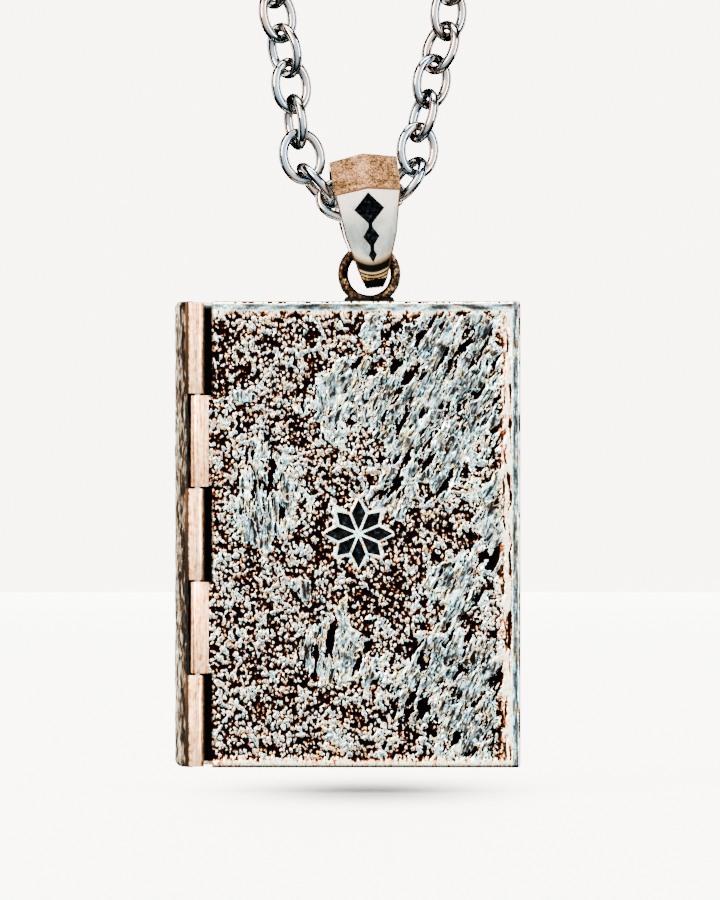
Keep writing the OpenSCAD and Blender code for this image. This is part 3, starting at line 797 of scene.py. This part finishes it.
def solder_foot():
    """Solder that fillets the eye onto the head of the book, black with oxide and painted shade under the
    eye.
    """
    rows = [(-8.3, 2.0, 0.6), (-7.8, 2.0, 0.6), (-7.66, 1.98, 0.54), (-7.5, 1.9, 0.44), (-7.36, 1.84, 0.36),
            (-7.24, 1.72, 0.3)]
    around = 40
    points = []
    for z, half_x, half_y in rows:
        for k in range(around):
            a = 2 * math.pi * k / around
            points.append((half_x * math.copysign(abs(math.cos(a)) ** 0.8, math.cos(a)),
                           half_y * math.copysign(abs(math.sin(a)) ** 0.6, math.sin(a)), z))
    obj = mesh_object("book_solder", points, ring_faces(len(rows), around))
    modify(obj, "SUBSURF", levels=1, render_levels=1)
    rough = bpy.data.textures.new("solder_rough", "CLOUDS")
    rough.noise_scale = 0.4 * MM
    modify(obj, "DISPLACE", texture=rough, strength=-0.08 * MM, mid_level=0.3, texture_coords="LOCAL")
    return obj


spine = spine_skin()
press(spine, "spine_grain", spine_push)
dress(spine, SPINE_CAST, GAP_BLACK)
# Painted shade: the spine's faces along the hinge slot take the black material
for face in spine.data.polygons:
    if face.center.x > (LIP_X - 0.05) * MM:
        face.material_index = 1
smooth(spine, 50)
back = cast_sheet("book_back", LIP_X, BACK, PAGE_BACK - BACK, 140, 190)
press(back, "back_relief", lambda tree, spot: cast_relief(tree, spot, 0.14, 0.12, LIP_X - 3, False))
dress(back, CAST)
smooth(back, 60)
pages = page_ring()
dress(pages, page_silver(), DARK, SATIN)
rim = PAGE_INSET + PAGE_RIM + 0.35
for face in pages.data.polygons:
    x, y, z = face.center / MM + NAPE
    # Painted shade: the pages under the hinge slot take the black material
    if x < COVER_X + 0.6:
        face.material_index = 1
    elif y > PAGE_FRONT + 0.15 and x < FORE - rim and TAIL + rim < z < HEAD - rim:
        face.material_index = 2
smooth(pages, 30)
book_knuckles = join("book_knuckles", [knuckle(i, LIP_X - 0.1, PIN_X) for i in (0, 2, 4)])
dress(book_knuckles, CREAM)
smooth(book_knuckles, 30)
eye = eye_ring()
dress(eye, RING)
smooth(eye, 80)
solder = solder_foot()
# Oxide and painted shade: the solder is black in the crevice under the eye
dress(solder, GAP_BLACK)
smooth(solder, 60)

# Hinge pin
pin = rod("pin_wire", (PIN_X, PIN_Y, TAIL + 0.1), PIN_R, HEAD - TAIL - 0.2, 0.05, 24)
dress(pin, SATIN)
smooth(pin, 40)

# Bail

def from_side(tree, x, z):
    """How far a point of the bail's front lies inside its tapering sides."""
    half = BAIL_HALVES[0][0]
    for (low_half, low), (high_half, high) in zip(BAIL_HALVES[1:], BAIL_HALVES):
        slope = (high_half - low_half) / (high - low)
        line = add(tree, MATH, (z, slope, low_half - slope * low), operation="MULTIPLY_ADD")
        half = add(tree, MATH, (half, line), operation="MINIMUM")
    return add(tree, MATH, (half, add(tree, MATH, (x,), operation="ABSOLUTE")), operation="SUBTRACT")


def foot_silver():
    """The bail's front: polished, browned along its edges, with a black foot crossed by thin golden lines,
    and a painted highlight that turns it cream towards its top.
    """
    mat, tree, shader, spot = new_material("silver_bail_front", 0.26)
    x, _, z = bail_parts(tree, spot)
    dim = grain(tree, spot, (0.7, 0.7, 0.42), 3.0, 0.55)
    body = add(tree, RAMP, (dim,), stops=[(0.34, "#949a8e"), (0.5, "#acafa2"), (0.66, "#c9c7b8")])
    # Painted highlight: the front turns cream towards its top, where the light falls
    top_highlight = add(tree, MATH, (dim, 1.4, z), operation="MULTIPLY_ADD")
    top_highlight = add(tree, RANGE, (top_highlight, -1.7, 0.5), interpolation_type="SMOOTHSTEP")
    body = add(tree, MIX, {0: top_highlight, 6: body, 7: linear("#ffecd2")}, 2, data_type="RGBA")

    # The golden lines bow upwards from the middle of the foot to its sides
    bow = add(tree, MATH, (x, x), operation="MULTIPLY")
    level = add(tree, MATH, (bow, -0.28, z), operation="MULTIPLY_ADD")
    bands = add(tree, RAMP, (add(tree, RANGE, (level, -6.9, 0.1)),), stops=[
        (0.0, "#050505"), (0.098, "#050505"), (0.105, "#a88a58"), (0.118, "#a88a58"), (0.126, "#050505"),
        (0.135, "#050505"), (0.142, "#a88a58"), (0.152, "#a88a58"), (0.16, "#050505"), (0.172, "#050505"),
        (0.18, "#b89a68"), (0.19, "#b89a68"), (0.2, "#0a0908"), (0.27, "#0a0908"), (0.3, "#8c7350"),
        (0.34, "#d9c4a2")])
    low = add(tree, RANGE, (level, -4.6, -4.1, 1.0, 0.0), interpolation_type="SMOOTHSTEP")
    colour = add(tree, MIX, {0: low, 6: body, 7: bands}, 2, data_type="RGBA")
    inside = add(tree, MATH, (from_side(tree, x, z), add(tree, RANGE, (dim, 0.3, 0.7, -0.03, 0.03))))
    inside = add(tree, RANGE, (inside, 0.07, 0.13))
    colour = add(tree, MIX, {0: inside, 6: linear("#4a2c18"), 7: colour}, 2, data_type="RGBA")
    fine = grain(tree, spot, (5.0, 5.0, 1.2), 3.0, 0.6)
    height = add(tree, MATH, (dim, 3.0, fine), operation="MULTIPLY_ADD")
    finish(tree, shader, colour, height, 0.03, 0.6, add(tree, RANGE, (fine, 0.3, 0.7, 0.2, 0.34)))
    return mat


TOP_SLOT, MARK_SLOT, HOLE_SLOT, EDGE_SLOT = 1, 2, 3, 4
bail = cad_copy("bail_body", "bail")
dress(bail, foot_silver(), TAN, DARK, SATIN, EDGE)
modify(bail, "BEVEL", width=0.08 * MM, segments=3, limit_method="ANGLE", angle_limit=math.radians(25),
       use_clamp_overlap=True, material=EDGE_SLOT)
for face in bail.data.polygons:
    if face.material_index == EDGE_SLOT:
        continue
    c = BAIL_TURN.inverted() @ (face.center / MM + NAPE - BAIL_AT)
    n = BAIL_TURN.inverted() @ face.normal
    front_y = -FACE_OUT + (BAIL_HALVES[1][1] - c.z) * math.tan(FACE_LEAN)
    if c.z > 0.85 and n.z > 0.5:
        face.material_index = TOP_SLOT
    elif c.y < 0 and c.z < 0.6 and front_y + 0.06 < c.y < front_y + 0.26 and abs(c.x) < 1.2:
        face.material_index = MARK_SLOT
    elif math.hypot(c.y, c.z) < HOLE_REACH:
        face.material_index = HOLE_SLOT
smooth(bail, 30)

# Chain: the same route and link frames as the CAD source, with round wire

LINK_L, LINK_W, WIRE, LINK_GAP = 4.36, 3.55, 0.73, 0.18
PITCH = LINK_L - 2 * WIRE - LINK_GAP
CLASP_HALF, CLASP_WIRE, CLASP_W = 5, 1.2, 5.4
CLASP_SET = WIRE / 2 + CLASP_WIRE / 2 + LINK_GAP - (WIRE + LINK_GAP) / 2
START = Vector((-0.62, 0, -0.1))
# Steps that each of the two curves of a hidden strand is measured in
HALF_STEPS = 60
# Each row: lean from the vertical, lean to the back, roll, and distance between the link's joints
LEFT = [(85, 0, 18, 2.56), (40, 0, -76, 2.46), (14, 0, 12, 2.6), (7, 0, -68, 2.72),
        (7, 0, 35, 2.72), (14, 2, -50, 2.72), (9, 5, 42, 2.72)]
RIGHT = [(78, 0, 50, 2.66), (38, 2, -61, 2.56), (4, 4, 28, 2.6), (14, 8, -62, 2.7),
         (14, 10, 38, 2.72), (16, 10, -47, 2.72), (9, 10, 42, 2.72)]


def way(row, side):
    lean, behind = math.radians(row[0]), math.radians(row[1])
    across, up = math.sin(lean) * math.cos(behind), math.cos(lean) * math.cos(behind)
    return Vector((side * across, math.sin(behind), up))


def curve_point(p, t):
    u = 1 - t
    return p[0] * u ** 3 + p[1] * (3 * u * u * t) + p[2] * (3 * u * t * t) + p[3] * t ** 3


def link_frames(rows, side):
    """Middle, and directions across, along and through, of every link of one strand."""
    joints = [START.copy()]
    for row in rows:
        joints.append(joints[-1] + row[3] * way(row, side))
    over = Vector((side * 50, 42, 101))
    over_way = Vector((side * 0.15, 0.76, 0.63)).normalized()
    end = NAPE + Vector((side * CLASP_HALF, 0, 0))
    first = [joints[-1], joints[-1] + 36 * way(rows[-1], side), over - 36 * over_way, over]
    second = [over, over + 30 * over_way, end + Vector((side * 30, 0, 0)), end]
    route = [curve_point(first, i / HALF_STEPS) for i in range(HALF_STEPS)]
    route += [curve_point(second, i / HALF_STEPS) for i in range(HALF_STEPS + 1)]
    run = [0.0]
    for a, b in zip(route, route[1:]):
        run.append(run[-1] + (b - a).length)
    count = math.ceil(run[-1] / PITCH)
    count += 1 - count % 2
    hidden = []
    for k in range(count + 1):
        want = run[-1] * k / count
        i = max(j for j in range(2 * HALF_STEPS) if run[j] <= want + 1e-9)
        t = (i + (want - run[i]) / (run[i + 1] - run[i])) / HALF_STEPS
        hidden.append(curve_point(first, t) if t < 1 else curve_point(second, min(t - 1, 1)))
    turn = rows[-1][2] + 90
    spans = [(joints[i], joints[i + 1], row[2]) for i, row in enumerate(rows)]
    for k in range(count):
        spans.append((hidden[k], hidden[k + 1], 90 * (k % 2) + turn + (90 - turn) * k / (count - 1)))
    frames = []
    for a, b, roll in spans:
        along = (b - a).normalized()
        flat = Vector((0, 1, 0)).cross(along).normalized()
        through = flat.cross(along)
        r = math.radians(roll)
        across = flat * math.cos(r) - through * math.sin(r)
        frames.append(((a + b) / 2, across, along, across.cross(along)))
    return frames


def bent_wire(name, steps, half_across, half_along, straight, wire):
    """A closed oval of round wire, lying flat at the origin, with straight sides between its two bends."""
    bpy.ops.mesh.primitive_circle_add(vertices=steps, radius=1, rotation=(0, 0, math.pi / steps))
    obj = made(name)
    freeze(obj)
    for v in obj.data.vertices:
        v.co = Vector((v.co.x * half_across + math.copysign(straight, v.co.x), v.co.y * half_along, 0)) * MM
    bpy.ops.object.convert(target="CURVE")
    curve = bpy.context.object.data
    curve.bevel_depth = wire / 2 * MM
    curve.bevel_resolution = 5
    bpy.ops.object.convert(target="MESH")
    return made(name)


def wire_links(name, frames):
    """A strand of links, each a copy of one bent link set in its own frame."""
    pattern = bent_wire("link", 40, (LINK_W - WIRE) / 2, (LINK_L - WIRE) / 2, 0, WIRE)
    links = []
    for middle, across, along, through in frames:
        link = bpy.data.objects.new(name, pattern.data.copy())
        bpy.context.scene.collection.objects.link(link)
        turn = Matrix((across, along, through)).transposed().to_4x4()
        link.data.transform(Matrix.Translation(place(*middle)) @ turn)
        links.append(link)
    bpy.data.objects.remove(pattern)
    obj = join(name, links)
    dress(obj, STEEL)
    smooth(obj, 80)
    return obj


links_left = wire_links("links_left", link_frames(LEFT, -1))
links_right = wire_links("links_right", link_frames(RIGHT, 1))


def clasp_oval():
    bend_r = (CLASP_W - CLASP_WIRE) / 2
    obj = bent_wire("clasp_wire", 48, bend_r, bend_r, CLASP_HALF + CLASP_SET - bend_r, CLASP_WIRE)
    obj.rotation_euler = (math.pi / 2, 0, 0)
    freeze(obj)
    return obj


clasp = clasp_oval()
dress(clasp, STEEL)
smooth(clasp, 60)

# What each piece stands for, and the body that it rides on
for body, node, slot, pieces in (
    ("cover", "front_cover", "cast_silver", (cover, cover_knuckles)),
    ("book", "book_body", "cast_silver", (spine, back, pages, book_knuckles, eye, solder)),
    ("book", "hinge_pin", "pin_silver", (pin,)),
    ("bail", "bail", "bail_silver", (bail,)),
    ("chain", "chain_left", "chain_steel", (links_left,)),
    ("chain", "chain_right", "chain_steel", (links_right,)),
    ("chain", "clasp", "chain_steel", (clasp,)),
):
    for piece in pieces:
        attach(piece, body)
        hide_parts(node)

# Studio: a pale bowl that the camera stands inside, lights, and the sky that the metal mirrors

FLOOR_GLOW = 7.4
SKY_GLOW = 7.2
# Floor under the locket, and the bowl's width, height and rounding, in millimetres
FLOOR_Z = -44.6
BOWL_R, BOWL_H, BOWL_BEND = 7000, 5000, 2500
# Half widths of the soft shadow painted into the floor's glow, across and to the back
PAINTED_SHADOW = (17, 42)


def pale_bowl():
    """White paper that glows evenly, but for a painted soft shadow under the locket."""
    profile = [(r, FLOOR_Z) for r in (0.1, 20, 60, 150, 400, 1200, 3500)]
    for k in range(1, 13):
        a = math.pi / 2 * k / 12
        profile.append((BOWL_R - BOWL_BEND * (1 - math.sin(a)), FLOOR_Z + BOWL_BEND * (1 - math.cos(a))))
    profile.append((BOWL_R, FLOOR_Z + BOWL_H))
    around = 96
    points = [(r * math.cos(2 * math.pi * k / around), r * math.sin(2 * math.pi * k / around), z)
              for r, z in profile for k in range(around)]
    obj = mesh_object("studio_floor", points, ring_faces(len(profile), around, closed=False))
    mat, tree, shader, spot = new_material("paper_pale", 0.9, 0.0)
    shader.inputs["Base Color"].default_value = linear("#5c5c5c")
    shader.inputs["Emission Color"].default_value = linear("#fffaf1")
    # Painted shadow: the glow fades to nothing in an oval under the locket
    away = add(tree, VECTOR, (spot, (0, -NAPE.y, 0)), operation="SUBTRACT")
    away = add(tree, VECTOR, (away, (1 / PAINTED_SHADOW[0], 1 / PAINTED_SHADOW[1], 0)), operation="MULTIPLY")
    away = add(tree, VECTOR, (away,), out=1, operation="LENGTH")
    glow = add(tree, RANGE, (away, 0.0, 1.0, 0.0, FLOOR_GLOW), interpolation_type="SMOOTHERSTEP")
    tree.links.new(glow, shader.inputs["Emission Strength"])
    dress(obj, mat)
    smooth(obj, 60)
    obj.visible_glossy = False


def soft_light(name, at, size, power, code):
    """A lamp aimed at the locket, out of the camera's sight."""
    lamp = bpy.data.lights.new(name, "AREA")
    lamp.shape = "RECTANGLE"
    lamp.size, lamp.size_y = size
    lamp.energy = power
    lamp.color = linear(code)[:3]
    obj = bpy.data.objects.new(name, lamp)
    bpy.context.scene.collection.objects.link(obj)
    obj.location = place(0, 0, -22) + Vector(at)
    obj.rotation_euler = (-Vector(at)).to_track_quat("-Z", "Y").to_euler()
    obj.visible_camera = False


def studio_sky():
    """White before the locket and dark behind it, which draws dark outlines on round wire."""
    world = bpy.data.worlds.new("studio")
    bpy.context.scene.world = world
    world.use_nodes = True
    tree = world.node_tree
    x, y, z = add(tree, SPLIT, (add(tree, "ShaderNodeTexCoord", out=0),)).node.outputs
    rise = add(tree, RAMP, (add(tree, RANGE, (z, -1.0, 1.0)),), stops=[
        (0.0, "#8b8e90"), (0.36, "#c8cccf"), (0.47, "#f4f5f6"), (0.62, "#ffffff")])
    behind = add(tree, RAMP, (add(tree, RANGE, (y, -1.0, 1.0)),), stops=[
        (0.0, "#ffffff"), (0.11, "#f2f2f2"), (0.18, "#8f9092"), (0.25, "#2f3033"), (0.33, "#070708"),
        (1.0, "#0a0a0b")])
    aside = add(tree, RAMP, (add(tree, RANGE, (x, -1.0, 1.0)),), stops=[
        (0.0, "#c8ced4"), (0.2, "#ffffff"), (0.27, "#ffffff"), (0.31, "#4e565e"), (0.35, "#ffffff"),
        (0.66, "#ffffff"), (0.71, "#6a5f64"), (0.76, "#ffffff"), (1.0, "#d8d2cc")])
    colour = add(tree, VECTOR, (rise, behind), operation="MULTIPLY")
    colour = add(tree, VECTOR, (colour, aside), operation="MULTIPLY")
    tree.links.new(colour, tree.nodes["Background"].inputs["Color"])
    tree.nodes["Background"].inputs["Strength"].default_value = SKY_GLOW


pale_bowl()
studio_sky()
soft_light("key_left", (-0.55, -0.6, 0.45), (0.4, 0.8), 62, "#ffeedd")
soft_light("fill_right", (0.7, -0.5, 0.2), (0.3, 0.8), 34, "#e6f0ff")
soft_light("top", (0, -0.1, 0.9), (0.8, 0.4), 46, "#ffffff")
soft_light("back", (0, 0.9, 0), (0.5, 0.5), 22, "#ffffff")
soft_light("edge_right", (0.8, 0.4, 0.05), (0.2, 0.7), 7, "#ffffff")
soft_light("edge_left", (-0.8, 0.25, 0.05), (0.2, 0.7), 6.5, "#fff2e2")

# Camera: level, square to the locket and far off
PHOTO_WIDE, PHOTO_HIGH = 720, 900
MM_PER_PIXEL = 0.075
# The pixel of the photograph that shows the middle of the bail's hole
HOLE_PIXEL = (369.3, 198.4)
FAR_OFF = 640
SENSOR = 24
bpy.ops.object.camera_add()
camera = made("camera")
camera.data.sensor_fit = "VERTICAL"
camera.data.sensor_height = SENSOR
camera.data.sensor_width = SENSOR
camera.data.lens = SENSOR * FAR_OFF / (PHOTO_HIGH * MM_PER_PIXEL)
camera.data.clip_start = 0.01
camera.data.clip_end = 40
camera.location = place((PHOTO_WIDE / 2 - HOLE_PIXEL[0]) * MM_PER_PIXEL, FRONT - FAR_OFF,
                        (HOLE_PIXEL[1] - PHOTO_HIGH / 2) * MM_PER_PIXEL)
camera.rotation_euler = (math.pi / 2, 0, 0)
bpy.context.scene.camera = camera
